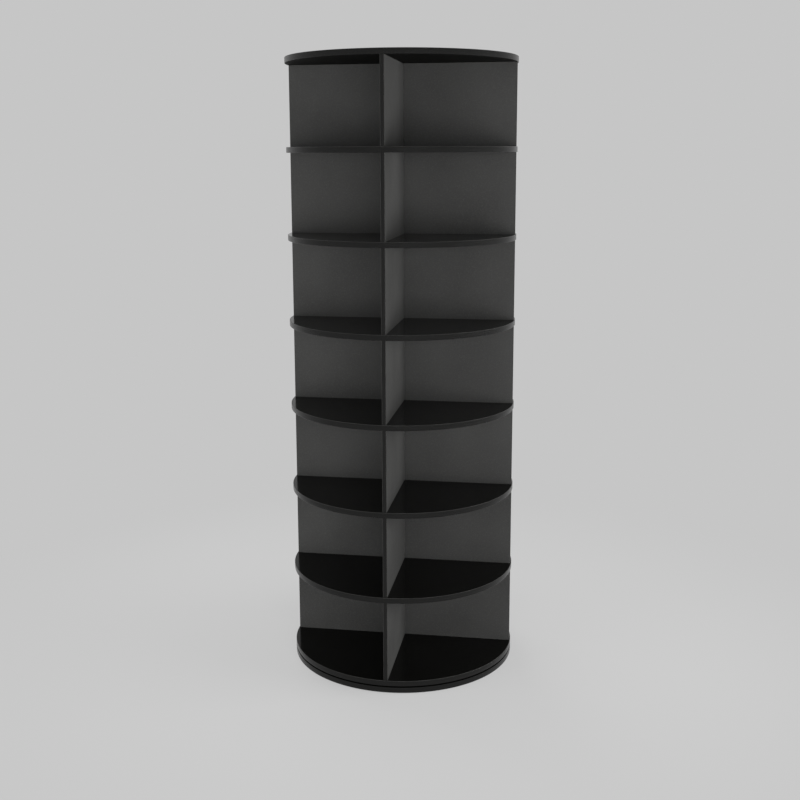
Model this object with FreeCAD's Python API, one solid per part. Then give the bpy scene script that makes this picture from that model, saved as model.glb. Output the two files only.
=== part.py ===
"""Rotating shoe tower: seven tiers of four open compartments on a ball-bearing turntable.

Millimetres, +Z up. The origin is on the floor, on the turning axis. The wide panels stand along X,
and the front dividers reach out along -Y.
"""
import FreeCAD, Part
import math
import os

# Round boards
tower_diameter = 500.0
board_thickness = 12.0
base_thickness = 12.0
tier_count = 7
tier_clear_height = 175.0

# Upright boards
upright_thickness = 9.0
upright_setback = 2.0            # from the rim of the round boards to the outer edge of the uprights

# Edge bands
band_thickness = 1.0
band_corner_radius = 0.6

# Feet
foot_count = 6
foot_diameter = 30.0
foot_height = 2.0
foot_edge_distance = 35.0        # from the base's rim to a foot's centre
foot_corner_radius = 0.5

# Turntable
running_gap = 3.0                # between the base and the bottom shelf
recess_depth = 4.0               # of the ring-shaped recess in the base
recess_wall_clearance = 0.3      # round the outer race
recess_free_clearance = 1.5      # inside the inner race, which turns
race_lift = 0.6                  # of the inner race off the recess floor, and the outer race below the shelf
race_width = 11.0
race_gap = 1.6                   # between the two races
race_corner_radius = 0.5
ball_circle_diameter = 276.0
ball_diameter = 4.0
ball_count = 24
groove_clearance = 0.12          # between a ball and its groove
cage_thickness = 0.8
cage_web = 0.55                  # of the cage above and below its ball holes
cage_hole_clearance = 0.15
race_screw_count = 4
race_screw_start_angle = 45.0
access_hole_diameter = 12.0      # in the base, to reach the inner race's screws

# Screws
screw_diameter = 3.5
screw_head_diameter = 7.0
screw_head_height = 2.2
screw_length = 35.0
screw_head_sink = 0.3            # of a head below the face it is driven into
screw_recess_width = 0.9
screw_recess_length = 4.0
screw_recess_depth = 1.4
screw_hole_clearance = 0.25      # round a screw where it passes freely through a board
head_seat_clearance = 0.1
inner_screw_inset = 56.0         # from the turntable's inner edge to the inner screws
outer_screw_inset = 43.0         # from an upright's outer edge to the outer screws

# Holes for threads and dowels
fixing_clearance = 0.05          # round a screw's thread or a dowel
blind_end_clearance = 0.5        # beyond the end of a screw or a dowel
screw_skin = 1.0                 # of board left beyond the hole of a race screw

# Dowels
dowel_diameter = 5.0
dowel_bite = 10.0                # of a dowel in an upright's edge
dowel_skin = 4.0                 # of board left beyond a dowel in the bottom shelf and the top board
cross_dowel_bite = 16.0          # of a cross dowel in a divider
cross_dowel_inset = 45.0         # from an upright's lower or upper edge

# Plug caps over the top board's screws
cap_diameter = 10.0
cap_thickness = 2.0

# Derived radii
rim_radius = tower_diameter / 2
core_radius = rim_radius - band_thickness
upright_reach = rim_radius - upright_setback
upright_core_reach = upright_reach - band_thickness
ball_circle_radius = ball_circle_diameter / 2
outer_race_inner_radius = ball_circle_radius + race_gap / 2
outer_race_outer_radius = outer_race_inner_radius + race_width
inner_race_outer_radius = ball_circle_radius - race_gap / 2
inner_race_inner_radius = inner_race_outer_radius - race_width
outer_race_screw_radius = outer_race_inner_radius + race_width / 2
inner_race_screw_radius = inner_race_outer_radius - race_width / 2
inner_screw_reach = inner_race_inner_radius - inner_screw_inset
outer_screw_reach = upright_reach - outer_screw_inset
dowel_reach = (inner_screw_reach + outer_screw_reach) / 2

# Derived depths
race_screw_bite = base_thickness - recess_depth - screw_skin - blind_end_clearance
upright_screw_bite = screw_length + screw_head_sink - board_thickness
top_screw_bite = upright_screw_bite + cap_thickness
dowel_blind_bite = board_thickness - dowel_skin

# Derived heights
base_top = foot_height + base_thickness
recess_floor = base_top - recess_depth
bottom_shelf_height = base_top + running_gap
race_height = bottom_shelf_height - recess_floor - race_lift
ball_height = (recess_floor + bottom_shelf_height) / 2
tier_pitch = board_thickness + tier_clear_height

UP = FreeCAD.Vector(0, 0, 1)
DOWN = FreeCAD.Vector(0, 0, -1)
QUARTER_TURNS = (0, 90, 180, 270)   # +X, +Y, -X and -Y from the axis


def around(radius, angle, height=0.0):
    """The point at a radius and an angle in degrees about the turning axis."""
    turn = math.radians(angle)
    return FreeCAD.Vector(radius * math.cos(turn), radius * math.sin(turn), height)


def level_height(level):
    """Underside of a round board: level 0 is the bottom shelf, the last one the top board."""
    return bottom_shelf_height + level * tier_pitch


def tier_floor(tier):
    """Height of the board that a tier's uprights stand on: tier 1 is the lowest."""
    return level_height(tier - 1) + board_thickness


def tier_ceiling(tier):
    """Underside of the board that a tier's uprights carry."""
    return level_height(tier)


def ring(outer_radius, inner_radius, height, bottom):
    """A flat ring about the turning axis."""
    outside = Part.makeCylinder(outer_radius, height, FreeCAD.Vector(0, 0, bottom))
    return outside.cut(Part.makeCylinder(inner_radius, height, FreeCAD.Vector(0, 0, bottom)))


def rounded_rims(solid, radius, rim):
    """The solid with a fillet on its circular edges of one radius about the turning axis."""
    edges = [e for e in solid.Edges if isinstance(e.Curve, Part.Circle) and abs(e.Curve.Radius - rim) < 1e-6]
    return solid.makeFillet(radius, edges)


def peg(radius, length, point, direction):
    """A plain round pin or hole from a point along a direction."""
    return Part.makeCylinder(radius, length, point, direction)


def turned(shape, angle):
    """A copy turned about the turning axis."""
    copy = shape.copy()
    copy.rotate(FreeCAD.Vector(0, 0, 0), UP, angle)
    return copy


# ---- Screws and the holes they need ----

def countersunk_screw(length, point, direction):
    """A countersunk cross-head screw whose head's flat face lies at a point, driven along a direction."""
    head_radius = screw_head_diameter / 2
    shank_radius = screw_diameter / 2
    head = Part.makeCone(head_radius, shank_radius, screw_head_height)
    tip_height = shank_radius
    shank = Part.makeCylinder(shank_radius, length - tip_height)
    tip = Part.makeCone(shank_radius, shank_radius / 4, tip_height, FreeCAD.Vector(0, 0, length - tip_height))
    screw = head.fuse([shank, tip]).removeSplitter()
    half_width = screw_recess_width / 2
    half_length = screw_recess_length / 2
    for long_x, long_y in ((half_length, half_width), (half_width, half_length)):
        corner = FreeCAD.Vector(-long_x, -long_y, 0)
        screw = screw.cut(Part.makeBox(2 * long_x, 2 * long_y, screw_recess_depth, corner))
    screw.Placement = FreeCAD.Placement(point, FreeCAD.Rotation(UP, direction))
    return screw


def screw_passage(thickness, point, direction):
    """The countersunk clearance hole through a board or a race, from the face that the head lies in."""
    wide = screw_head_diameter / 2 + head_seat_clearance
    narrow = screw_diameter / 2 + head_seat_clearance
    mouth = Part.makeCylinder(wide, screw_head_sink, point, direction)
    seat = Part.makeCone(wide, narrow, screw_head_height, point + direction * screw_head_sink, direction)
    free = peg(screw_diameter / 2 + screw_hole_clearance, thickness, point, direction)
    return mouth.fuse([seat, free])


def thread_hole(depth, point, direction):
    """The hole that a screw's thread holds in."""
    return peg(screw_diameter / 2 + fixing_clearance, depth + blind_end_clearance, point, direction)


def dowel_hole(depth, point, direction):
    """The hole that a dowel's end sits in."""
    return peg(dowel_diameter / 2 + fixing_clearance, depth + blind_end_clearance, point, direction)


def dowel(length, point, direction):
    """A round dowel with chamfered ends."""
    pin = peg(dowel_diameter / 2, length, point, direction)
    rims = [e for e in pin.Edges if isinstance(e.Curve, Part.Circle)]
    return pin.makeChamfer(dowel_diameter / 8, rims)


# ---- Base and feet ----

def base_disc():
    """The round board that stands still, with the turntable's recess and the access hole."""
    disc = Part.makeCylinder(core_radius, base_thickness, FreeCAD.Vector(0, 0, foot_height))
    recess = ring(outer_race_outer_radius + recess_wall_clearance,
                  inner_race_inner_radius - recess_free_clearance, recess_depth, recess_floor)
    holes = [thread_hole(race_screw_bite, around(outer_race_screw_radius, angle, recess_floor), DOWN)
             for angle in race_screw_angles()]
    access_point = around(inner_race_screw_radius, race_screw_start_angle, foot_height)
    access = peg(access_hole_diameter / 2, base_thickness, access_point, UP)
    return disc.cut([recess, access] + holes)


def feet():
    """Rubber pads stuck under the base disc."""
    pads = []
    for index in range(foot_count):
        centre = around(rim_radius - foot_edge_distance, 360 / foot_count * (index + 0.5))
        pad = Part.makeCylinder(foot_diameter / 2, foot_height, centre)
        lower_rim = [e for e in pad.Edges if e.BoundBox.ZMax < 1e-6 and isinstance(e.Curve, Part.Circle)]
        pads.append(pad.makeFillet(min(foot_corner_radius, foot_height / 3), lower_rim))
    return Part.makeCompound(pads)


# ---- Turntable ----

def race_screw_angles():
    return [race_screw_start_angle + 360 / race_screw_count * index for index in range(race_screw_count)]


def ball_groove():
    return Part.makeTorus(ball_circle_radius, ball_diameter / 2 + groove_clearance,
                          FreeCAD.Vector(0, 0, ball_height), UP)


def outer_race():
    """The race that lies in the base's recess."""
    race = ring(outer_race_outer_radius, outer_race_inner_radius, race_height, recess_floor)
    race = rounded_rims(race, race_corner_radius, outer_race_outer_radius)
    top = recess_floor + race_height
    holes = [screw_passage(race_height, around(outer_race_screw_radius, angle, top), DOWN)
             for angle in race_screw_angles()]
    return race.cut([ball_groove()] + holes)


def inner_race():
    """The race that is screwed up under the bottom shelf."""
    underside = bottom_shelf_height - race_height
    race = ring(inner_race_outer_radius, inner_race_inner_radius, race_height, underside)
    race = rounded_rims(race, race_corner_radius, inner_race_inner_radius)
    holes = [screw_passage(race_height, around(inner_race_screw_radius, angle, underside), UP)
             for angle in race_screw_angles()]
    return race.cut([ball_groove()] + holes)


def ball_angles():
    return [360 / ball_count * (index + 0.5) for index in range(ball_count)]


def balls():
    centres = [around(ball_circle_radius, angle, ball_height) for angle in ball_angles()]
    return Part.makeCompound([Part.makeSphere(ball_diameter / 2, centre) for centre in centres])


def ball_cage():
    """The thin band between the races, with a hole for each ball."""
    hole_radius = ball_diameter / 2 + cage_hole_clearance
    height = 2 * (hole_radius + cage_web)
    band = ring(ball_circle_radius + cage_thickness / 2, ball_circle_radius - cage_thickness / 2,
                height, ball_height - height / 2)
    inside = ball_circle_radius - cage_thickness
    holes = [peg(hole_radius, 2 * cage_thickness, around(inside, angle, ball_height), around(1, angle))
             for angle in ball_angles()]
    return band.cut(holes)


def race_screws(radius, seat_height, direction):
    """The screws that hold one race to its board."""
    length = race_height - screw_head_sink + race_screw_bite
    return Part.makeCompound([
        countersunk_screw(length, around(radius, angle, seat_height) + direction * screw_head_sink, direction)
        for angle in race_screw_angles()])


# ---- Round boards of the tower ----

def fixing_points(reaches, height):
    """The points at these reaches along the four uprights of a tier."""
    return [around(reach, angle, height) for angle in QUARTER_TURNS for reach in reaches]


def screw_points(height):
    return fixing_points((inner_screw_reach, outer_screw_reach), height)


def dowel_points(height):
    return fixing_points((dowel_reach,), height)


def plain_disc(level):
    """One round board before its holes are bored."""
    return Part.makeCylinder(core_radius, board_thickness, FreeCAD.Vector(0, 0, level_height(level)))


def bottom_shelf():
    """The board that the inner race carries: screws come up through it, dowels stand in it."""
    underside = level_height(0)
    top = underside + board_thickness
    holes = [screw_passage(board_thickness, point, UP) for point in screw_points(underside)]
    holes += [dowel_hole(dowel_blind_bite, point, DOWN) for point in dowel_points(top)]
    holes += [thread_hole(race_screw_bite, around(inner_race_screw_radius, angle, underside), UP)
              for angle in race_screw_angles()]
    return plain_disc(0).cut(holes)


def shelf(level):
    """A board between two tiers: screws go down through it, and dowels run right through."""
    underside = level_height(level)
    top = underside + board_thickness
    holes = [screw_passage(board_thickness, point, DOWN) for point in screw_points(top)]
    holes += [dowel_hole(board_thickness, point, UP) for point in dowel_points(underside)]
    return plain_disc(level).cut(holes)


def top_board():
    """The uppermost board, with a round seat for the cap over each screw."""
    underside = level_height(tier_count)
    top = underside + board_thickness
    cap_seat = top - cap_thickness
    seat_radius = cap_diameter / 2 + fixing_clearance
    holes = [peg(seat_radius, cap_thickness, point, DOWN) for point in screw_points(top)]
    holes += [screw_passage(cap_seat - underside, point, DOWN) for point in screw_points(cap_seat)]
    holes += [dowel_hole(dowel_blind_bite, point, UP) for point in dowel_points(underside)]
    return plain_disc(tier_count).cut(holes)


def tower_board(level):
    """The round board of one level."""
    if level == 0:
        return bottom_shelf()
    if level == tier_count:
        return top_board()
    return shelf(level)


def disc_edge_band(underside, thickness):
    """The band round one board's rim, with both its outer edges rounded."""
    band = ring(rim_radius, core_radius, thickness, underside)
    return rounded_rims(band, min(band_corner_radius, band_thickness * 0.8), rim_radius)


# ---- Upright boards of the tower ----

def upright_fixings(tier):
    """The holes in the lower and upper edges of one tier's uprights."""
    floor = tier_floor(tier)
    ceiling = tier_ceiling(tier)
    bite = top_screw_bite if tier == tier_count else upright_screw_bite
    holes = [thread_hole(bite, point, DOWN) for point in screw_points(ceiling)]
    holes += [dowel_hole(dowel_bite, point, DOWN) for point in dowel_points(ceiling)]
    holes += [dowel_hole(dowel_bite, point, UP) for point in dowel_points(floor)]
    if tier == 1:
        holes += [thread_hole(upright_screw_bite, point, UP) for point in screw_points(floor)]
    return holes


def cross_dowel_heights(tier):
    return (tier_floor(tier) + cross_dowel_inset, tier_ceiling(tier) - cross_dowel_inset)


def cross_dowel_holes(tier):
    length = upright_thickness + 2 * (cross_dowel_bite + blind_end_clearance)
    radius = dowel_diameter / 2 + fixing_clearance
    return [peg(radius, length, FreeCAD.Vector(0, -length / 2, height), FreeCAD.Vector(0, 1, 0))
            for height in cross_dowel_heights(tier)]


def wide_panel(tier):
    """The upright that runs from rim to rim along X."""
    corner = FreeCAD.Vector(-upright_core_reach, -upright_thickness / 2, tier_floor(tier))
    board = Part.makeBox(2 * upright_core_reach, upright_thickness, tier_clear_height, corner)
    return board.cut(upright_fixings(tier) + cross_dowel_holes(tier))


def divider(tier, side):
    """The half upright in front of the wide panel (side -1) or behind it (side 1)."""
    length = upright_core_reach - upright_thickness / 2
    near = upright_thickness / 2 if side > 0 else -upright_core_reach
    corner = FreeCAD.Vector(-upright_thickness / 2, near, tier_floor(tier))
    board = Part.makeBox(upright_thickness, length, tier_clear_height, corner)
    return board.cut(upright_fixings(tier) + cross_dowel_holes(tier))


def upright_edge_bands(tier):
    """The strips on the four outer edges of one tier's uprights."""
    corner = FreeCAD.Vector(upright_core_reach, -upright_thickness / 2, tier_floor(tier))
    strip = Part.makeBox(band_thickness, upright_thickness, tier_clear_height, corner)
    upright_edges = [e for e in strip.Edges if e.BoundBox.ZLength > tier_clear_height / 2]
    outer_edges = [e for e in upright_edges if e.BoundBox.XMin > upright_reach - 1e-6]
    strip = strip.makeFillet(min(band_corner_radius, band_thickness * 0.8), outer_edges)
    return Part.makeCompound([turned(strip, angle) for angle in QUARTER_TURNS])


# ---- Fasteners of the tower ----

def bottom_shelf_screws():
    points = screw_points(level_height(0) + screw_head_sink)
    return Part.makeCompound([countersunk_screw(screw_length, point, UP) for point in points])


def shelf_screws():
    """The screws driven down through the shelves between the tiers."""
    screws = []
    for level in range(1, tier_count):
        points = screw_points(level_height(level) + board_thickness - screw_head_sink)
        screws += [countersunk_screw(screw_length, point, DOWN) for point in points]
    return Part.makeCompound(screws)


def top_board_screws():
    points = screw_points(level_height(tier_count) + board_thickness - cap_thickness - screw_head_sink)
    return Part.makeCompound([countersunk_screw(screw_length, point, DOWN) for point in points])


def shelf_dowels():
    """The dowels that line the uprights up through every board of the tower."""
    pins = []
    for level in range(tier_count + 1):
        low = level_height(level) - dowel_bite
        high = level_height(level) + board_thickness + dowel_bite
        if level == 0:
            low = level_height(level) + board_thickness - dowel_blind_bite
        if level == tier_count:
            high = level_height(level) + dowel_blind_bite
        pins += [dowel(high - low, point, UP) for point in dowel_points(low)]
    return Part.makeCompound(pins)


def cross_dowels():
    """The dowels that join the two dividers of a tier through its wide panel."""
    length = upright_thickness + 2 * cross_dowel_bite
    return Part.makeCompound([
        dowel(length, FreeCAD.Vector(0, -length / 2, height), FreeCAD.Vector(0, 1, 0))
        for tier in range(1, tier_count + 1) for height in cross_dowel_heights(tier)])


def top_screw_caps():
    """Round plugs that cover the top board's screws, flush with its face."""
    points = screw_points(level_height(tier_count) + board_thickness)
    return Part.makeCompound([peg(cap_diameter / 2, cap_thickness, point, DOWN) for point in points])


# ---- The whole tower ----

def board_name(level):
    """Name of a round board of the tower, counted up from the bottom shelf."""
    if level == 0:
        return "bottom_shelf"
    if level == tier_count:
        return "top_board"
    return "shelf_" + str(level + 1)


def build():
    """Every node by name."""
    nodes = {
        "base_disc": base_disc(),
        "base_edge_band": disc_edge_band(foot_height, base_thickness),
        "feet": feet(),
        "turntable_outer_race": outer_race(),
        "turntable_inner_race": inner_race(),
        "turntable_balls": balls(),
        "turntable_cage": ball_cage(),
        "outer_race_screws": race_screws(outer_race_screw_radius, recess_floor + race_height, DOWN),
        "inner_race_screws": race_screws(inner_race_screw_radius, bottom_shelf_height - race_height, UP),
        "bottom_shelf_screws": bottom_shelf_screws(),
        "shelf_screws": shelf_screws(),
        "top_board_screws": top_board_screws(),
        "top_screw_caps": top_screw_caps(),
        "shelf_dowels": shelf_dowels(),
        "cross_dowels": cross_dowels(),
    }
    for level in range(tier_count + 1):
        nodes[board_name(level)] = tower_board(level)
        nodes[board_name(level) + "_edge_band"] = disc_edge_band(level_height(level), board_thickness)
    for tier in range(1, tier_count + 1):
        nodes["wide_panel_" + str(tier)] = wide_panel(tier)
        nodes["front_divider_" + str(tier)] = divider(tier, -1)
        nodes["rear_divider_" + str(tier)] = divider(tier, 1)
        nodes["upright_edge_bands_" + str(tier)] = upright_edge_bands(tier)
    return nodes


os.makedirs("parts", exist_ok=True)
for name, shape in build().items():
    shape.exportStep("parts/" + name + ".step")
    print(name, "solids", len(shape.Solids), "valid", shape.isValid(), "volume", round(shape.Volume))
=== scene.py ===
import math

import bmesh
import bpy
from bpy.props import FloatProperty, FloatVectorProperty, IntProperty, PointerProperty
from mathutils import Matrix, Vector


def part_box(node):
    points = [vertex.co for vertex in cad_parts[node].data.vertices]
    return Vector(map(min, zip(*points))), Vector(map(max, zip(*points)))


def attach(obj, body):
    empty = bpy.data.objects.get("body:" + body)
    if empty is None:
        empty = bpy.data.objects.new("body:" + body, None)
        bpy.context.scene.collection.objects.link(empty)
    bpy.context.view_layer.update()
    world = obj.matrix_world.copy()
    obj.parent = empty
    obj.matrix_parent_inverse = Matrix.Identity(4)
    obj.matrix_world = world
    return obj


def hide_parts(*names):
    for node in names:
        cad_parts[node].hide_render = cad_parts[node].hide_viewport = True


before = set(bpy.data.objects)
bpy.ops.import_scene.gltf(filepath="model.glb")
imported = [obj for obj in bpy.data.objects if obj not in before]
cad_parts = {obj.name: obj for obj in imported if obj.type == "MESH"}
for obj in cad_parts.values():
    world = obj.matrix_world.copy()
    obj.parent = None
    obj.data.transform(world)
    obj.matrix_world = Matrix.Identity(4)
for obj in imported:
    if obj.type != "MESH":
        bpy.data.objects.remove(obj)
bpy.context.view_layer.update()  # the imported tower: its nodes, bodies, joints and record

bl_info = {
    "name": "Rotating shoe tower",
    "version": (1, 0, 0),
    "blender": (4, 5, 0),
    "location": "3D View > Sidebar > Shoe tower",
    "description": "Dresses a round rotating shoe tower with edge bands, feet, caps and finishes",
    "category": "Object",
}

MM = 0.001
TIERS = range(1, 8)
ROUND_BOARDS = ["base", "bottom_shelf", *(f"shelf_{tier}" for tier in TIERS[1:]), "top_board"]
ROUND_NODES = ["base_disc", *ROUND_BOARDS[1:]]
QUARTER_TURNS = (0, 90, 180, 270)

# In metres: points nearer than MERGED are one point, and points within TOUCHING of a face lie on it
MERGED = 1e-6
TOUCHING = 1e-5

# Sides of a cap and of a foot, and the flat steps that make up each rounded corner
CAP_SIDES = 48
FOOT_SIDES = 64
RIM_CORNER_STEPS = 5
STRIP_CORNER_STEPS = 4
CAP_CORNER_STEPS = 3
FOOT_CORNER_STEPS = 4

# Among the faces of a turned piece, only its round ends have more sides than this
SIDE_FACE_CORNERS = 8

# Degrees to either side of the back between which the butt joints of the rim bands lie
BUTT_SPREAD = 4


# ---------------------------------------------------------------- values a user would change


def length(name, description, millimetres):
    return FloatProperty(
        name=name, description=description, default=millimetres * MM, min=0.0,
        unit="LENGTH", subtype="DISTANCE", precision=5,
    )


def colour(name, description, red, green, blue):
    return FloatVectorProperty(
        name=name, description=description, default=(red, green, blue), min=0.0, max=1.0,
        size=3, subtype="COLOR",
    )


def share(name, description, value):
    return FloatProperty(
        name=name, description=description, default=value, min=0.0, max=1.0, subtype="FACTOR",
    )


def angle(name, description, degrees):
    return FloatProperty(
        name=name, description=description, default=math.radians(degrees),
        unit="ROTATION", subtype="ANGLE", precision=4,
    )


def power(name, description, watts):
    return FloatProperty(name=name, description=description, default=watts, min=0.0, unit="POWER")


class ShoeTowerSizes(bpy.types.PropertyGroup):
    """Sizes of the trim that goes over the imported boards"""

    corner_radius: length("Band corner", "Radius rubbed on the outer corners of every edge band", 0.8)
    seam_width: length("Seam width", "Width of the hairline between a rim band and its board", 0.1)
    seam_depth: length("Seam depth", "Depth of the hairline between an edge band and its board", 0.12)
    tuck: length("Band tuck", "How far a rim band reaches in behind the rim of its board", 0.4)
    butt_gap: length("Butt gap", "Gap where the two ends of a rim band meet at the back", 0.25)
    rim_steps: IntProperty(
        name="Rim steps", description="Straight pieces that make up one rim band", default=256, min=64,
    )
    cap_play: length("Cap play", "Gap between a screw cap and its seat, all round", 0.15)
    cap_edge: length("Cap edge", "Rounding of the upper edge of a screw cap", 0.35)
    cap_land: length("Cap land", "Width of the flat ring round the dish of a screw cap", 0.7)
    cap_dish: length("Cap dish", "Depth of the shallow dish in a screw cap", 0.15)
    cap_slope: length("Cap slope", "Width of the slope down into the dish", 0.6)
    cap_floor: length("Cap floor", "Width of the flat ring at the bottom of the dish", 1.6)
    cap_button_slope: length("Cap button slope", "Width of the slope up to the button in the dish", 0.5)
    cap_button: length("Cap button", "Height of the button in the middle of the dish", 0.075)
    foot_edge: length("Foot edge", "Rounding of the lower edge of a foot", 0.5)
    tread_rings: IntProperty(
        name="Tread rings", description="Number of ring grooves under a foot", default=3, min=0,
    )
    tread_land: length("Tread land", "Width of the flat ring outside each groove", 1.7)
    tread_depth: length("Tread depth", "Depth of the ring grooves in the underside of a foot", 0.5)
    tread_wall: length("Tread wall", "Width of the slope on each side of a groove", 0.3)
    tread_floor: length("Tread floor", "Width of the flat floor of a groove", 1.1)


class ShoeTowerColours(bpy.types.PropertyGroup):
    """Colours and gloss of the finishes"""

    upright: colour("Uprights", "Black satin melamine of the upright boards", 0.0322, 0.0322, 0.0314)
    # Painted shade: the round boards' black is kept far darker than the uprights' black melamine, so
    # that the shelf tops read as dim as in shade
    round: colour("Round boards", "Deeper black melamine of the round boards", 0.0024, 0.0024, 0.0021)
    upright_roughness: share("Upright roughness", "Mean roughness of the upright boards", 0.48)
    round_roughness: share("Round board roughness", "Mean roughness of the round boards' tops", 0.13)
    backing_roughness: share("Backing roughness", "Mean roughness under the round boards", 0.65)
    rim_edging: colour("Rim edging", "Black edge band round the boards", 0.0038, 0.0038, 0.0036)
    upright_edging: colour("Upright edging", "Black edge band on the uprights", 0.004, 0.004, 0.0038)
    edging_roughness: share("Edging roughness", "Mean roughness of the edge bands", 0.24)
    cap: colour("Screw caps", "Moulded caps over the top screws", 0.006, 0.006, 0.0062)
    rubber: colour("Feet", "Rubber of the feet", 0.02, 0.02, 0.02)
    aluminium: colour("Races", "Turned aluminium of the turntable races", 0.72, 0.73, 0.74)
    steel: colour("Balls", "Polished steel of the balls", 0.6, 0.6, 0.62)
    zinc: colour("Screws", "Zinc plating of the screws", 0.62, 0.62, 0.6)
    nylon: colour("Ball cage", "Natural nylon of the ball cage", 0.75, 0.75, 0.72)
    beech_light: colour("Beech, light", "Early wood of the beech dowels", 0.62, 0.43, 0.26)
    beech_dark: colour("Beech, dark", "Late wood of the beech dowels", 0.44, 0.27, 0.14)


class ShoeTowerStudio(bpy.types.PropertyGroup):
    """Where the camera stands, and how the studio is lit"""

    camera_azimuth: angle("Camera azimuth", "Turn of the camera round the tower, from the front", 8.876)
    camera_distance: FloatProperty(
        name="Camera distance", description="Level distance from the tower's axis to the camera",
        default=2.5, unit="LENGTH", subtype="DISTANCE",
    )
    camera_height: FloatProperty(
        name="Camera height", description="Height of the camera above the floor",
        default=1.138, unit="LENGTH", subtype="DISTANCE",
    )
    camera_yaw: angle("Camera yaw", "Turn of the camera away from the tower's axis", 0.129)
    camera_pitch: angle("Camera pitch", "How far the camera looks down", 10.568)
    camera_roll: angle("Camera roll", "Tilt of the camera about its line of sight", -0.199)
    lens: FloatProperty(
        name="Lens", description="Focal length for a picture as wide as the sensor", default=50.906,
        unit="CAMERA",
    )
    shift: FloatProperty(
        name="Shift", description="Upward shift of the lens, as a share of the picture", default=-0.045,
    )
    backdrop: colour("Backdrop", "Pale grey of the backdrop", 0.565, 0.565, 0.565)
    room_light: share("Room light", "Level of the even light from all round", 0.36)
    left_power: power("Left light", "Power of the soft light at the left", 68.0)
    front_power: power("Front light", "Power of the soft light at the front", 83.0)
    right_power: power("Right light", "Power of the soft light at the right", 160.0)
    back_power: power("Back light", "Power of the soft light behind the tower", 150.0)


# ---------------------------------------------------------------- modelling by hand, in short words


def deselect_all():
    """Leaves edit mode and deselects every object."""
    if bpy.context.object and bpy.context.object.mode != "OBJECT":
        bpy.ops.object.mode_set(mode="OBJECT")
    for obj in bpy.context.selected_objects:
        obj.select_set(False)


def edit(obj):
    """Puts one object in edit mode, alone."""
    deselect_all()
    obj.select_set(True)
    bpy.context.view_layer.objects.active = obj
    bpy.ops.object.mode_set(mode="EDIT")


def pick(kind, test):
    """Selects those verts, edges or faces of the edited mesh that pass the test."""
    modes = {"verts": "VERT", "edges": "EDGE", "faces": "FACE"}
    bpy.ops.mesh.select_mode(type=modes[kind])
    bpy.ops.mesh.select_all(action="DESELECT")
    data = bpy.context.edit_object.data
    shape = bmesh.from_edit_mesh(data)
    parts = getattr(shape, kind)
    parts.ensure_lookup_table()
    found = [part for part in parts if test(part)]
    for part in found:
        part.select_set(True)
    shape.select_flush_mode()
    bmesh.update_edit_mesh(data, loop_triangles=False, destructive=False)
    if not found:
        raise RuntimeError(f"no {kind} found to shape in {bpy.context.edit_object.name}")


def middle(edge):
    return (edge.verts[0].co + edge.verts[1].co) / 2


def is_upright(edge):
    return abs(edge.verts[0].co.z - edge.verts[1].co.z) > TOUCHING


def is_round_end(face, direction):
    """True for the flat end of a turned piece that faces up (1) or down (-1)."""
    return face.normal.z * direction > 0.9 and len(face.verts) > SIDE_FACE_CORNERS


def inset_rings(*rings):
    """Insets the picked face once for each pair of a ring's width and its rise."""
    for width, rise in rings:
        bpy.ops.mesh.inset(thickness=width, depth=rise)


def close_up(obj):
    """Merges doubled points and turns all faces outwards."""
    edit(obj)
    bpy.ops.mesh.select_all(action="SELECT")
    bpy.ops.mesh.remove_doubles(threshold=MERGED)
    bpy.ops.mesh.normals_make_consistent(inside=False)
    bpy.ops.object.mode_set(mode="OBJECT")


def apply_place(obj):
    """Moves an object's place, turn and size into its mesh."""
    deselect_all()
    obj.select_set(True)
    bpy.context.view_layer.objects.active = obj
    bpy.ops.object.transform_apply(location=True, rotation=True, scale=True)


def primitive(name, operator, **settings):
    """Adds a primitive at its size and place, and returns it with that place in its mesh."""
    deselect_all()
    scale = settings.pop("scale", None)
    operator(**settings)
    obj = bpy.context.object
    obj.name = obj.data.name = name
    if scale:
        obj.scale = scale
    apply_place(obj)
    return obj


def copy_of(obj, name, matrix):
    """Makes a copy with its own mesh, put in place by a matrix."""
    made = obj.copy()
    made.data = obj.data.copy()
    made.name = made.data.name = name
    made.data.transform(matrix)
    bpy.context.scene.collection.objects.link(made)
    return made


def joined(parts, name):
    """Joins several objects into one."""
    deselect_all()
    for part in parts:
        part.select_set(True)
    bpy.context.view_layer.objects.active = parts[0]
    bpy.ops.object.join()
    obj = bpy.context.object
    obj.name = obj.data.name = name
    return obj


def smooth(obj, degrees=35):
    """Shades an object smooth, apart from edges that are sharper than an angle."""
    deselect_all()
    obj.select_set(True)
    bpy.context.view_layer.objects.active = obj
    bpy.ops.object.shade_smooth_by_angle(angle=math.radians(degrees))


def finish_piece(obj, body, node, finish):
    """Gives a new piece its finish and its place on a body, and lets it stand for a CAD node."""
    obj.data.materials.clear()
    obj.data.materials.append(finish)
    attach(obj, body)
    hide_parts(node)


# ---------------------------------------------------------------- finishes


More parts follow.
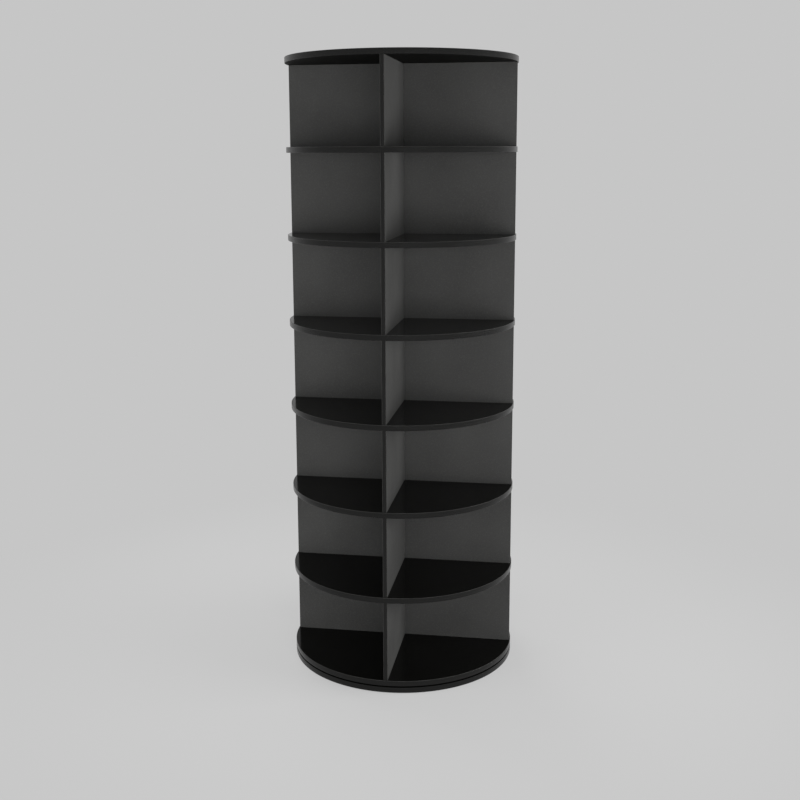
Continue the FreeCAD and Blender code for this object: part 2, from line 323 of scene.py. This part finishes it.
class Finish:
    """A node material under construction, with short words for the nodes that finishes are made of."""

    COLOUR_A, COLOUR_B, MIXED_COLOUR = 6, 7, 2  # sockets of a Mix node that mixes colours
    DRIFT = 0.6 * MM  # for each radian round the axis

    def __init__(self, name, specular=0.5, metallic=0.0, subsurface=0.0):
        self.material = bpy.data.materials.get(name) or bpy.data.materials.new(name)
        self.material.use_nodes = True
        self.tree = self.material.node_tree
        self.tree.nodes.clear()
        self.shader = self.add("ShaderNodeBsdfPrincipled")
        output = self.add("ShaderNodeOutputMaterial")
        self.link(self.shader.outputs["BSDF"], output.inputs["Surface"])
        where = self.add("ShaderNodeTexCoord")
        self.place, self.facing = where.outputs["Object"], where.outputs["Normal"]
        self.shader.inputs["Specular IOR Level"].default_value = specular
        self.shader.inputs["Metallic"].default_value = metallic
        self.shader.inputs["Subsurface Weight"].default_value = subsurface
        self.last_normal = None

    def add(self, kind, **settings):
        node = self.tree.nodes.new(kind)
        for setting, value in settings.items():
            setattr(node, setting, value)
        return node

    def link(self, source, target):
        self.tree.links.new(source, target)

    def math(self, operation, first, second=None):
        node = self.add("ShaderNodeMath", operation=operation)
        for value, socket in zip((first, second), node.inputs):
            if isinstance(value, bpy.types.NodeSocket):
                self.link(value, socket)
            elif value is not None:
                socket.default_value = value
        return node.outputs[0]

    def stretched(self, scale, vector=None):
        """The coordinates times a scale along each axis."""
        node = self.add("ShaderNodeMapping", vector_type="POINT")
        node.inputs["Scale"].default_value = scale
        self.link(vector or self.place, node.inputs["Vector"])
        return node.outputs["Vector"]

    def round_axis(self):
        """Coordinates that follow a turned piece: radius, height, and a slow drift round the axis."""
        split = self.add("ShaderNodeSeparateXYZ")
        self.link(self.place, split.inputs[0])
        across = self.math("MULTIPLY", split.outputs["X"], split.outputs["X"])
        along = self.math("MULTIPLY", split.outputs["Y"], split.outputs["Y"])
        radius = self.math("SQRT", self.math("ADD", across, along))
        drift = self.math("ARCTAN2", split.outputs["Y"], split.outputs["X"])
        node = self.add("ShaderNodeCombineXYZ")
        self.link(radius, node.inputs["X"])
        self.link(self.math("MULTIPLY", drift, self.DRIFT), node.inputs["Y"])
        self.link(split.outputs["Z"], node.inputs["Z"])
        return node.outputs["Vector"]

    def facing_along(self, axis):
        """How far the surface faces along one of the piece's axes, from -1 to 1."""
        split = self.add("ShaderNodeSeparateXYZ")
        self.link(self.facing, split.inputs[0])
        return split.outputs[axis]

    def corners(self, axis, both_sides):
        """1 where a rounded corner faces aslant along an axis, and 0 on the flats beside it."""
        level = self.facing_along(axis)
        if both_sides:
            level = self.math("ABSOLUTE", level)
        aslant = self.math("MULTIPLY", level, self.math("SUBTRACT", 1.0, level))
        return self.between(aslant, 0.0, 1.0, 0.1, 0.22)

    def noise(self, scale, detail=2.0, vector=None, roughness=0.5):
        """A cloudy pattern from 0 to 1, with its scale in clouds a metre and its detail in octaves."""
        node = self.add("ShaderNodeTexNoise")
        node.inputs["Scale"].default_value = scale
        node.inputs["Detail"].default_value = detail
        node.inputs["Roughness"].default_value = roughness
        self.link(vector or self.place, node.inputs["Vector"])
        return node.outputs["Fac"]

    def between(self, value, low, high, start=0.3, end=0.7):
        """Maps a pattern's range from start to end onto low to high."""
        node = self.add("ShaderNodeMapRange")
        node.inputs["From Min"].default_value = start
        node.inputs["From Max"].default_value = end
        node.inputs["To Min"].default_value = low
        node.inputs["To Max"].default_value = high
        self.link(value, node.inputs["Value"])
        return node.outputs["Result"]

    def blend(self, factor, first, second):
        """Mixes two colours by a pattern."""
        node = self.add("ShaderNodeMix", data_type="RGBA")
        self.link(factor, node.inputs["Factor"])
        colours = zip((first, second), (node.inputs[self.COLOUR_A], node.inputs[self.COLOUR_B]))
        for value, socket in colours:
            if isinstance(value, bpy.types.NodeSocket):
                self.link(value, socket)
            else:
                socket.default_value = (*value, 1.0)
        return node.outputs[self.MIXED_COLOUR]

    def bump(self, height, depth, strength):
        """Adds a relief from a pattern, on top of the reliefs before it."""
        node = self.add("ShaderNodeBump")
        node.inputs["Distance"].default_value = depth
        node.inputs["Strength"].default_value = strength
        self.link(height, node.inputs["Height"])
        if self.last_normal:
            self.link(self.last_normal, node.inputs["Normal"])
        self.last_normal = node.outputs["Normal"]
        self.link(self.last_normal, self.shader.inputs["Normal"])

    def colour(self, source):
        self.link(source, self.shader.inputs["Base Color"])

    def rough(self, source):
        self.link(source, self.shader.inputs["Roughness"])


def tinted(base, factor):
    """A colour made lighter or darker by a factor."""
    return tuple(min(1.0, channel * factor) for channel in base)


# Reflection of the blacks, and how many times paler than its band a worn corner is, the paler corner
# being both wear and a painted highlight
UPRIGHT_SPECULAR = 0.16
ROUND_SPECULAR = 0.1
EDGING_SPECULAR = 0.2
WORN_AND_HIGHLIT_TONE = 9.0

# How close the drawn lines lie along X, Y and Z: they run round a rim, and up an upright
RIM_LINES = (26.0, 26.0, 1900.0)
UPRIGHT_LINES = (1900.0, 1900.0, 26.0)

# The corners painted paler, as wear and as a painted highlight: the axis that they face aslant along,
# and whether both sides of it are painted
UPPER_WORN_AND_HIGHLIT_CORNERS = ("Z", False)
SIDE_WORN_AND_HIGHLIT_CORNERS = ("X", True)


def board_finish(name, base, roughness, specular, backing_roughness=None):
    """Black satin melamine: a fine pressed grain, faint clouds in the black, and a few dull smudges.

    A board that lies flat can have a duller backing film underneath.
    """
    made = Finish(name, specular=specular)
    clouds = made.noise(4.6, 3.0)
    grain = made.noise(1100.0, 2.0)
    speckle = made.noise(520.0, 2.0)
    tone = made.blend(made.between(clouds, 0.0, 1.0), tinted(base, 0.8), tinted(base, 1.2))
    pressed = made.blend(made.between(grain, 0.0, 0.5, 0.4, 0.65), tone, tinted(base, 0.6))
    made.colour(made.blend(made.between(speckle, 0.0, 0.5, 0.5, 0.75), pressed, tinted(base, 1.7)))
    smudges = made.between(made.noise(7.0, 4.0, roughness=0.6), -0.035, 0.055, 0.35, 0.75)
    gloss = made.math("ADD", smudges, roughness)
    if backing_roughness:
        backing = made.between(made.facing_along("Z"), backing_roughness - roughness, 0.0, -1.0, -0.5)
        gloss = made.math("ADD", gloss, backing)
    made.rough(made.math("ADD", gloss, made.between(grain, 0.02, -0.02)))
    made.bump(grain, 0.04 * MM, 0.7)
    made.bump(made.noise(34.0, 2.0), 0.04 * MM, 0.35)
    return made.material


def edging_finish(name, base, roughness, lines, worn_and_highlit_corners=None):
    """Black edge band: lines drawn along the band and, on chosen corners, the black painted paler as
    wear and as a painted highlight.
    """
    made = Finish(name, specular=EDGING_SPECULAR)
    drawn = made.noise(1.0, 2.0, made.stretched(lines))
    tone = made.blend(made.between(drawn, 0.0, 1.0), tinted(base, 0.8), tinted(base, 1.3))
    # Wear and painted highlight: the chosen corners (upper rim corners, both side corners of the
    # upright strips) turn paler in patches, as where an edge wears and where it catches the light
    if worn_and_highlit_corners:
        patchy = made.between(made.noise(40.0, 2.0), 0.5, 1.0)
        rubbed_and_highlit = made.math("MULTIPLY", made.corners(*worn_and_highlit_corners), patchy)
        tone = made.blend(rubbed_and_highlit, tone, tinted(base, WORN_AND_HIGHLIT_TONE))
    made.colour(tone)
    patches = made.between(made.noise(11.0, 3.0), -0.03, 0.04)
    gloss = made.math("ADD", patches, roughness)
    made.rough(made.math("ADD", gloss, made.between(drawn, -0.02, 0.02)))
    made.bump(drawn, 0.015 * MM, 0.5)
    return made.material


def cap_finish(colours):
    """Black moulded plastic with a fine spark-eroded grain."""
    made = Finish("black_moulded_cap", specular=0.4)
    grain = made.noise(2600.0, 2.0)
    made.colour(made.blend(
        made.between(grain, 0.0, 1.0), tinted(colours.cap, 0.85), tinted(colours.cap, 1.2)
    ))
    made.rough(made.between(grain, 0.44, 0.56))
    made.bump(grain, 0.02 * MM, 0.6)
    return made.material


def rubber_finish(colours):
    """Matt rubber with a dusty bloom."""
    made = Finish("foot_rubber_black", specular=0.35)
    bloom = made.noise(160.0, 4.0)
    made.colour(made.blend(
        made.between(bloom, 0.0, 1.0), tinted(colours.rubber, 0.8), tinted(colours.rubber, 1.6)
    ))
    made.rough(made.between(bloom, 0.78, 0.93))
    made.bump(made.noise(1800.0, 3.0), 0.04 * MM, 0.7)
    return made.material


def aluminium_finish(colours):
    """Aluminium turned on a lathe: fine rings round the axis, with a slight change of tone."""
    made = Finish("turned_aluminium", metallic=1.0)
    rings = made.noise(2600.0, 3.0, made.round_axis())
    clouds = made.noise(18.0, 2.0)
    made.colour(made.blend(
        made.between(clouds, 0.0, 1.0), tinted(colours.aluminium, 0.9), colours.aluminium
    ))
    made.rough(made.between(rings, 0.24, 0.42))
    made.bump(rings, 0.02 * MM, 0.6)
    return made.material


def steel_finish(colours):
    """Polished ball steel with a light film of grease."""
    made = Finish("polished_ball_steel", metallic=1.0)
    film = made.noise(260.0, 3.0)
    made.colour(made.blend(
        made.between(film, 0.0, 1.0), tinted(colours.steel, 0.92), tinted(colours.steel, 1.05)
    ))
    made.rough(made.between(film, 0.08, 0.2))
    made.bump(film, 0.004 * MM, 0.3)
    return made.material


def zinc_finish(colours):
    """Bright zinc plating: small crystals and a faint warm and cool tint."""
    made = Finish("zinc_plated_steel", metallic=1.0)
    tint = made.noise(90.0, 3.0)
    crystals = made.noise(1400.0, 2.0)
    cool = (colours.zinc[0] * 0.92, colours.zinc[1] * 0.97, colours.zinc[2] * 1.06)
    warm = (colours.zinc[0] * 1.06, colours.zinc[1] * 1.0, colours.zinc[2] * 0.84)
    made.colour(made.blend(made.between(tint, 0.0, 1.0), cool, warm))
    made.rough(made.between(crystals, 0.28, 0.44))
    made.bump(crystals, 0.012 * MM, 0.5)
    return made.material


def nylon_finish(colours):
    """Natural nylon: milky, with a soft moulded grain."""
    made = Finish("natural_nylon", subsurface=0.08)
    flow = made.noise(70.0, 3.0)
    made.colour(made.blend(made.between(flow, 0.0, 1.0), tinted(colours.nylon, 0.93), colours.nylon))
    made.rough(made.between(made.noise(900.0, 2.0), 0.42, 0.55))
    made.bump(made.noise(1300.0, 2.0), 0.01 * MM, 0.5)
    return made.material


def beech_finish(colours):
    """Beech dowel rod: straight grain that runs up the rod, with short dark flecks."""
    made = Finish("plain_beech", specular=0.4)
    grain = made.noise(1.0, 4.0, made.stretched((700.0, 260.0, 60.0)))
    flecks = made.noise(1.0, 2.0, made.stretched((1600.0, 900.0, 220.0)))
    tone = made.blend(made.between(grain, 0.0, 1.0), colours.beech_light, colours.beech_dark)
    made.colour(made.blend(
        made.between(flecks, 0.0, 0.6, 0.58, 0.72), tone, tinted(colours.beech_dark, 0.6)
    ))
    made.rough(made.between(grain, 0.5, 0.68))
    made.bump(grain, 0.04 * MM, 0.5)
    return made.material


def finishes(context):
    """Every finish, by the record's slot or a name of its own, made afresh from the panel's colours."""
    colours = context.scene.shoe_tower_colours
    return {
        "black_board": board_finish(
            "black_satin_upright", colours.upright, colours.upright_roughness, UPRIGHT_SPECULAR
        ),
        # The round boards take a far darker copy of the black melamine, as painted shade on the shelf
        # tops
        "black_round_board": board_finish(
            "black_satin_round_board", colours.round, colours.round_roughness,
            ROUND_SPECULAR, colours.backing_roughness,
        ),
        "black_edging": edging_finish(
            "black_rim_band", colours.rim_edging, colours.edging_roughness, RIM_LINES, UPPER_WORN_AND_HIGHLIT_CORNERS
        ),
        "black_base_edging": edging_finish(
            "black_base_band", colours.rim_edging, colours.edging_roughness, RIM_LINES
        ),
        "black_upright_edging": edging_finish(
            "black_upright_band", colours.upright_edging, colours.edging_roughness, UPRIGHT_LINES,
            SIDE_WORN_AND_HIGHLIT_CORNERS,
        ),
        "cap_plastic": cap_finish(colours),
        "foot_rubber": rubber_finish(colours),
        "race_aluminium": aluminium_finish(colours),
        "ball_steel": steel_finish(colours),
        "screw_steel": zinc_finish(colours),
        "cage_plastic": nylon_finish(colours),
        "dowel_wood": beech_finish(colours),
    }


class SHOETOWER_OT_finish_nodes(bpy.types.Operator):
    """Give every packed board, screw, dowel and turntable part its finish"""

    bl_idname = "shoe_tower.finish_nodes"
    bl_label = "Finish the packed parts"

    def execute(self, context):
        made = finishes(context)
        for name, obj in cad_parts.items():
            for place in obj.material_slots:
                slot = place.material.name.split(".")[0]
                if slot not in made:
                    raise RuntimeError(f"{name} has no finish for its slot {slot}")
                if name in ROUND_NODES:
                    slot = "black_round_board"
                place.material = made[slot]
        return {"FINISHED"}


# ---------------------------------------------------------------- new pieces


def butt_turn(index):
    """How far a board's butt joint is turned off the back, so that no two joints line up."""
    places = 2 * BUTT_SPREAD + 1
    return math.radians((index * 5) % places - BUTT_SPREAD)


class SHOETOWER_OT_rim_bands(bpy.types.Operator):
    """Model one edge band with rounded corners and a seam, and put it round every round board"""

    bl_idname = "shoe_tower.rim_bands"
    bl_label = "Rim bands"

    def execute(self, context):
        sizes = context.scene.shoe_tower_sizes
        low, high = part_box("base_edge_band")
        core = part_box("base_disc")[1].x
        rim, thickness, centre = high.x, high.z - low.z, (high.z + low.z) / 2
        inner = core - sizes.tuck
        band = self.section(inner, core, rim, thickness, centre, sizes)
        self.spin_round(band, rim, sizes)
        for index, board in enumerate(ROUND_BOARDS):
            node = f"{board}_edge_band"
            rise = Matrix.Translation((0, 0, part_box(node)[0].z - low.z))
            turn = Matrix.Rotation(butt_turn(index), 4, "Z")
            body, finish = "tower", "black_rim_band"
            if board == "base":
                body, finish = "base", "black_base_band"
            piece = copy_of(band, f"{board}_rim_band", rise @ turn)
            finish_piece(piece, body, node, bpy.data.materials[finish])
        bpy.data.objects.remove(band)
        return {"FINISHED"}

    @staticmethod
    def section(inner, core, rim, thickness, centre, sizes):
        """The band's cross-section at the back of the tower, as one flat face."""
        band = primitive(
            "rim_band", bpy.ops.mesh.primitive_plane_add, size=1.0,
            location=(0, (inner + rim) / 2, centre), rotation=(0, math.pi / 2, 0),
            scale=(thickness, rim - inner, 1),
        )
        edit(band)
        for radius in (core + sizes.seam_width, core):
            bpy.ops.mesh.select_all(action="SELECT")
            bpy.ops.mesh.bisect(plane_co=(0, radius, 0), plane_no=(0, 1, 0))
        pick("verts", lambda vert: vert.co.y < core + TOUCHING)
        squeeze = 1 - 2 * sizes.seam_depth / thickness
        bpy.ops.transform.resize(value=(1, 1, squeeze), center_override=(0, core, centre))
        pick("verts", lambda vert: vert.co.y > rim - TOUCHING)
        bpy.ops.mesh.bevel(offset=sizes.corner_radius, segments=RIM_CORNER_STEPS, affect="VERTICES")
        return band

    @staticmethod
    def spin_round(band, rim, sizes):
        """Spins the section round the axis, all but the butt gap where the band's ends meet."""
        bpy.ops.mesh.select_all(action="SELECT")
        bpy.ops.mesh.spin(
            steps=sizes.rim_steps, angle=math.tau - sizes.butt_gap / rim,
            center=(0, 0, 0), axis=(0, 0, 1),
        )
        bpy.ops.object.mode_set(mode="OBJECT")
        close_up(band)
        smooth(band)


class SHOETOWER_OT_upright_bands(bpy.types.Operator):
    """Model one upright edge strip, and put four round each tier"""

    bl_idname = "shoe_tower.upright_bands"
    bl_label = "Upright bands"

    def execute(self, context):
        sizes = context.scene.shoe_tower_sizes
        low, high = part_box("upright_edge_bands_1")
        panel_low, panel_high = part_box("wide_panel_1")
        width, reach, core = panel_high.y - panel_low.y, high.x, panel_high.x
        strip = primitive(
            "upright_strip", bpy.ops.mesh.primitive_cube_add, size=1.0,
            location=(0, -(reach + core) / 2, (low.z + high.z) / 2),
            scale=(width, reach - core, high.z - low.z),
        )
        edit(strip)
        pick("edges", lambda edge: is_upright(edge) and middle(edge).y < -reach + TOUCHING)
        bpy.ops.mesh.bevel(offset=sizes.corner_radius, segments=STRIP_CORNER_STEPS, affect="EDGES")
        pick("edges", lambda edge: is_upright(edge) and middle(edge).y > -core - TOUCHING)
        bpy.ops.mesh.bevel(offset=sizes.seam_depth, segments=1, affect="EDGES")
        bpy.ops.object.mode_set(mode="OBJECT")
        close_up(strip)
        turns = [
            copy_of(strip, f"upright_strip_{turn}", Matrix.Rotation(math.radians(turn), 4, "Z"))
            for turn in QUARTER_TURNS
        ]
        bpy.data.objects.remove(strip)
        tier_set = joined(turns, "upright_strips")
        smooth(tier_set)
        for tier in TIERS:
            node = f"upright_edge_bands_{tier}"
            rise = Matrix.Translation((0, 0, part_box(node)[0].z - low.z))
            piece = copy_of(tier_set, f"upright_strips_{tier}", rise)
            finish_piece(piece, "tower", node, bpy.data.materials["black_upright_band"])
        bpy.data.objects.remove(tier_set)
        return {"FINISHED"}


def islands(node):
    """The centre, on the floor plan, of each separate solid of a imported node."""
    shape = bmesh.new()
    shape.from_mesh(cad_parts[node].data)
    bmesh.ops.remove_doubles(shape, verts=shape.verts, dist=MERGED)
    left, centres = set(shape.verts), []
    while left:
        reached = [left.pop()]
        for vert in reached:
            near = {edge.other_vert(vert) for edge in vert.link_edges} & left
            left -= near
            reached.extend(near)
        xs, ys = [vert.co.x for vert in reached], [vert.co.y for vert in reached]
        centres.append(Vector(((min(xs) + max(xs)) / 2, (min(ys) + max(ys)) / 2, 0)))
    shape.free()
    return sorted(centres, key=lambda centre: (round(centre.x, 4), round(centre.y, 4)))


class SHOETOWER_OT_screw_caps(bpy.types.Operator):
    """Model one dished cap, and press one over each screw of the top board"""

    bl_idname = "shoe_tower.screw_caps"
    bl_label = "Screw caps"

    def execute(self, context):
        sizes = context.scene.shoe_tower_sizes
        low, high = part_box("top_screw_caps")
        places = islands("top_screw_caps")
        radius = high.x - max(place.x for place in places)
        cap = primitive(
            "screw_cap", bpy.ops.mesh.primitive_cylinder_add, vertices=CAP_SIDES,
            radius=radius - sizes.cap_play, depth=high.z - low.z,
            location=(0, 0, (high.z + low.z) / 2),
        )
        edit(cap)
        pick("edges", lambda edge: min(vert.co.z for vert in edge.verts) > high.z - TOUCHING)
        bpy.ops.mesh.bevel(offset=sizes.cap_edge, segments=CAP_CORNER_STEPS, affect="EDGES")
        pick("faces", lambda face: is_round_end(face, 1))
        inset_rings(
            (sizes.cap_land, 0), (sizes.cap_slope, -sizes.cap_dish),
            (sizes.cap_floor, 0), (sizes.cap_button_slope, sizes.cap_button),
        )
        bpy.ops.object.mode_set(mode="OBJECT")
        close_up(cap)
        caps = [
            copy_of(cap, f"screw_cap_{index}", Matrix.Translation(place))
            for index, place in enumerate(places)
        ]
        bpy.data.objects.remove(cap)
        piece = joined(caps, "dished_screw_caps")
        smooth(piece)
        finish_piece(
            piece, "tower", "top_screw_caps", bpy.data.materials["black_moulded_cap"]
        )
        return {"FINISHED"}


class SHOETOWER_OT_feet(bpy.types.Operator):
    """Model one rubber foot with a rounded rim and ring grooves, and put six under the base"""

    bl_idname = "shoe_tower.feet"
    bl_label = "Feet"

    def execute(self, context):
        sizes = context.scene.shoe_tower_sizes
        low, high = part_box("feet")
        places = islands("feet")
        radius = high.x - max(place.x for place in places)
        foot = primitive(
            "foot", bpy.ops.mesh.primitive_cylinder_add, vertices=FOOT_SIDES,
            radius=radius, depth=high.z - low.z, location=(0, 0, (high.z + low.z) / 2),
        )
        edit(foot)
        pick("edges", lambda edge: max(vert.co.z for vert in edge.verts) < low.z + TOUCHING)
        bpy.ops.mesh.bevel(offset=sizes.foot_edge, segments=FOOT_CORNER_STEPS, affect="EDGES")
        pick("faces", lambda face: is_round_end(face, -1))
        for _ in range(sizes.tread_rings):
            inset_rings(
                (sizes.tread_land, 0), (sizes.tread_wall, -sizes.tread_depth),
                (sizes.tread_floor, 0), (sizes.tread_wall, sizes.tread_depth),
            )
        bpy.ops.object.mode_set(mode="OBJECT")
        close_up(foot)
        feet = [
            copy_of(foot, f"foot_{index}", Matrix.Translation(place))
            for index, place in enumerate(places)
        ]
        bpy.data.objects.remove(foot)
        piece = joined(feet, "grooved_feet")
        smooth(piece)
        finish_piece(piece, "base", "feet", bpy.data.materials["foot_rubber_black"])
        return {"FINISHED"}


# ---------------------------------------------------------------- stage


def ray_kind(tree, *outputs):
    """1 for the kinds of ray named, and 0 for the others."""
    path = tree.nodes.new("ShaderNodeLightPath")
    total = path.outputs[outputs[0]]
    for output in outputs[1:]:
        larger = tree.nodes.new("ShaderNodeMath")
        larger.operation = "MAXIMUM"
        tree.links.new(total, larger.inputs[0])
        tree.links.new(path.outputs[output], larger.inputs[1])
        total = larger.outputs[0]
    return total


# The kinds of ray that see the plain backdrop
SEEN = ("Is Camera Ray", "Is Glossy Ray", "Is Transmission Ray")

# Each lamp's azimuth from the front in degrees, and its distance, height, width and tallness in metres
LAMPS = {
    "left": (-60.0, 3.0, 0.7, 2.2, 1.3),
    "front": (16.0, 3.0, 0.75, 2.2, 1.4),
    "right": (88.0, 3.0, 0.7, 2.2, 1.3),
    "back": (215.0, 3.0, 0.7, 2.6, 1.3),
}
LAMP_AIM = 0.67  # height in metres that every lamp is turned towards

FLOOR_SIZE = 60.0
SHADOW_REACH = (0.3, 1.3)  # metres from the axis between which the floor fades into the backdrop
PLAIN_SHARE = (0.75, 1.0)  # share of plain backdrop colour in the floor, near the tower and far from it

SENSOR_WIDTH = 36.0  # millimetres
CLIP_RANGE = (0.05, 100.0)  # metres


class SHOETOWER_OT_stage(bpy.types.Operator):
    """Set up the pale floor, the soft lamps, the even room light and the camera"""

    bl_idname = "shoe_tower.stage"
    bl_label = "Stage"

    def execute(self, context):
        studio = context.scene.shoe_tower_studio
        self.room(context, studio)
        self.floor(studio)
        for name, (azimuth, distance, height, *size) in LAMPS.items():
            watts = getattr(studio, f"{name}_power")
            self.lamp(f"{name}_lamp", watts, math.radians(azimuth), distance, height, size)
        self.camera(context, studio)
        context.scene.view_settings.view_transform = "Standard"
        return {"FINISHED"}

    @staticmethod
    def room(context, studio):
        """A world that is seen as the backdrop, and lights evenly at its own level."""
        world = bpy.data.worlds.new("studio_room")
        context.scene.world = world
        world.use_nodes = True
        tree = world.node_tree
        tree.nodes.clear()
        seen = tree.nodes.new("ShaderNodeBackground")
        seen.inputs["Color"].default_value = (*studio.backdrop, 1.0)
        lighting = tree.nodes.new("ShaderNodeBackground")
        lighting.inputs["Color"].default_value = (1.0, 1.0, 1.0, 1.0)
        lighting.inputs["Strength"].default_value = studio.room_light
        mix = tree.nodes.new("ShaderNodeMixShader")
        output = tree.nodes.new("ShaderNodeOutputWorld")
        tree.links.new(ray_kind(tree, *SEEN), mix.inputs["Fac"])
        tree.links.new(lighting.outputs[0], mix.inputs[1])
        tree.links.new(seen.outputs[0], mix.inputs[2])
        tree.links.new(mix.outputs[0], output.inputs["Surface"])

    @staticmethod
    def floor(studio):
        """A pale floor that keeps the tower's soft shadow and melts into the backdrop further out."""
        plane = primitive("studio_floor", bpy.ops.mesh.primitive_plane_add, size=FLOOR_SIZE)
        material = bpy.data.materials.new("pale_floor")
        material.use_nodes = True
        tree = material.node_tree
        tree.nodes.clear()
        output = tree.nodes.new("ShaderNodeOutputMaterial")
        lit = tree.nodes.new("ShaderNodeBsdfDiffuse")
        lit.inputs["Color"].default_value = (*studio.backdrop, 1.0)
        plain = tree.nodes.new("ShaderNodeEmission")
        plain.inputs["Color"].default_value = (*studio.backdrop, 1.0)
        far = tree.nodes.new("ShaderNodeMapRange")
        far.interpolation_type = "SMOOTHSTEP"
        far.inputs["From Min"].default_value, far.inputs["From Max"].default_value = SHADOW_REACH
        far.inputs["To Min"].default_value, far.inputs["To Max"].default_value = PLAIN_SHARE
        distance = tree.nodes.new("ShaderNodeVectorMath")
        distance.operation = "LENGTH"
        place = tree.nodes.new("ShaderNodeTexCoord")
        tree.links.new(place.outputs["Object"], distance.inputs[0])
        tree.links.new(distance.outputs["Value"], far.inputs["Value"])
        factor = tree.nodes.new("ShaderNodeMath")
        factor.operation = "MULTIPLY"
        tree.links.new(far.outputs["Result"], factor.inputs[0])
        tree.links.new(ray_kind(tree, *SEEN), factor.inputs[1])
        mix = tree.nodes.new("ShaderNodeMixShader")
        tree.links.new(factor.outputs[0], mix.inputs["Fac"])
        tree.links.new(lit.outputs[0], mix.inputs[1])
        tree.links.new(plain.outputs[0], mix.inputs[2])
        tree.links.new(mix.outputs[0], output.inputs["Surface"])
        plane.data.materials.append(material)

    @staticmethod
    def lamp(name, watts, azimuth, distance, height, size):
        """A large soft rectangular lamp, turned towards the middle of the tower."""
        data = bpy.data.lights.new(name, "AREA")
        data.shape = "RECTANGLE"
        data.size, data.size_y = size
        data.energy = watts
        lamp = bpy.data.objects.new(name, data)
        lamp.visible_glossy = False  # satin black mirrors the even backdrop, and no lamp
        lamp.location = (distance * math.sin(azimuth), -distance * math.cos(azimuth), height)
        aim = Vector((0, 0, LAMP_AIM)) - lamp.location
        lamp.rotation_euler = aim.to_track_quat("-Z", "Y").to_euler()
        bpy.context.scene.collection.objects.link(lamp)

    @staticmethod
    def camera(context, studio):
        """A camera that stands at the front, a little to the right, and looks slightly down."""
        azimuth = studio.camera_azimuth
        heading = azimuth + studio.camera_yaw
        pitch, roll = studio.camera_pitch, studio.camera_roll
        ahead = Vector((-math.sin(heading), math.cos(heading), 0))
        right = Vector((math.cos(heading), math.sin(heading), 0))
        up = Vector((0, 0, 1))
        sight = ahead * math.cos(pitch) - up * math.sin(pitch)
        crown = up * math.cos(pitch) + ahead * math.sin(pitch)
        side = right * math.cos(roll) + crown * math.sin(roll)
        crown = crown * math.cos(roll) - right * math.sin(roll)
        data = bpy.data.cameras.new("studio_camera")
        data.sensor_width = SENSOR_WIDTH
        data.lens = studio.lens
        data.shift_y = studio.shift
        data.clip_start, data.clip_end = CLIP_RANGE
        camera = bpy.data.objects.new("studio_camera", data)
        turn = Matrix((side, crown, -sight)).transposed().to_4x4()
        place = Vector((
            studio.camera_distance * math.sin(azimuth),
            -studio.camera_distance * math.cos(azimuth),
            studio.camera_height,
        ))
        camera.matrix_world = Matrix.Translation(place) @ turn
        context.scene.collection.objects.link(camera)
        context.scene.camera = camera


# ---------------------------------------------------------------- panel and registration


STEPS = (
    SHOETOWER_OT_finish_nodes,
    SHOETOWER_OT_rim_bands,
    SHOETOWER_OT_upright_bands,
    SHOETOWER_OT_screw_caps,
    SHOETOWER_OT_feet,
    SHOETOWER_OT_stage,
)


class SHOETOWER_PT_panel(bpy.types.Panel):
    """Values and steps of the shoe tower"""

    bl_label = "Shoe tower"
    bl_idname = "SHOETOWER_PT_panel"
    bl_space_type = "VIEW_3D"
    bl_region_type = "UI"
    bl_category = "Shoe tower"

    def draw(self, context):
        layout = self.layout
        scene = context.scene
        for group in (scene.shoe_tower_sizes, scene.shoe_tower_colours, scene.shoe_tower_studio):
            box = layout.box()
            box.label(text=group.bl_rna.description)
            for name in group.__annotations__:
                box.prop(group, name)
        for step in STEPS:
            layout.operator(step.bl_idname)


GROUPS = {
    "shoe_tower_sizes": ShoeTowerSizes,
    "shoe_tower_colours": ShoeTowerColours,
    "shoe_tower_studio": ShoeTowerStudio,
}


def register():
    for name, group in GROUPS.items():
        bpy.utils.register_class(group)
        setattr(bpy.types.Scene, name, PointerProperty(type=group))
    for step in STEPS:
        bpy.utils.register_class(step)
    bpy.utils.register_class(SHOETOWER_PT_panel)


def unregister():
    bpy.utils.unregister_class(SHOETOWER_PT_panel)
    for step in reversed(STEPS):
        bpy.utils.unregister_class(step)
    for name, group in GROUPS.items():
        delattr(bpy.types.Scene, name)
        bpy.utils.unregister_class(group)


def main():
    register()
    bpy.ops.shoe_tower.finish_nodes()
    bpy.ops.shoe_tower.rim_bands()
    bpy.ops.shoe_tower.upright_bands()
    bpy.ops.shoe_tower.screw_caps()
    bpy.ops.shoe_tower.feet()
    bpy.ops.shoe_tower.stage()
    deselect_all()


if __name__ == "__main__":
    main()
